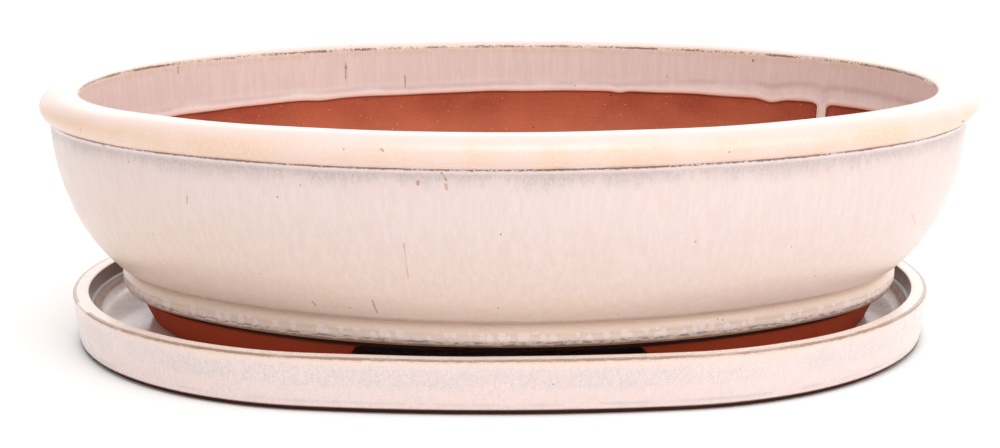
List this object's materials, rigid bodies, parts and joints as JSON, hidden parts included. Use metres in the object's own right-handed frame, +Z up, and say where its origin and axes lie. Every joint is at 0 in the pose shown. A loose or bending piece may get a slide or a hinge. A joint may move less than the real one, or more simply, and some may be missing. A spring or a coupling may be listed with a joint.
{
  "type": "oval bonsai pot with drip saucer",
  "caption": "Oval glazed stoneware bonsai pot with a rolled rim, a rounded base band and cut-out feet, standing in its matching oval drip saucer.",
  "frame": {"origin": "on the table, under the middle of the pot's rim", "axes": "+X along the pot's length, +Y along its width, +Z up"},
  "size_m": [0.3998, 0.313, 0.1098],
  "materials": {
    "terracotta": "matte, unglazed red clay with fine light and dark specks",
    "glaze": "satin-gloss cream and pink-white glaze with faint mottling and brown breaks on the edges"
  },
  "bodies": {
    "saucer": {"saucer_body": "terracotta", "saucer_glaze": "glaze"},
    "pot": {"pot_wall": "terracotta", "pot_floor": "terracotta", "pot_glaze": "glaze", "foot_left": "terracotta", "foot_right": "terracotta"}
  },
  "joints": [
    {"name": "pot_lift", "type": "slide", "parent": "saucer", "child": "pot", "axis": [0, 0, 1], "range_m": [0, 0.12]}
  ]
}
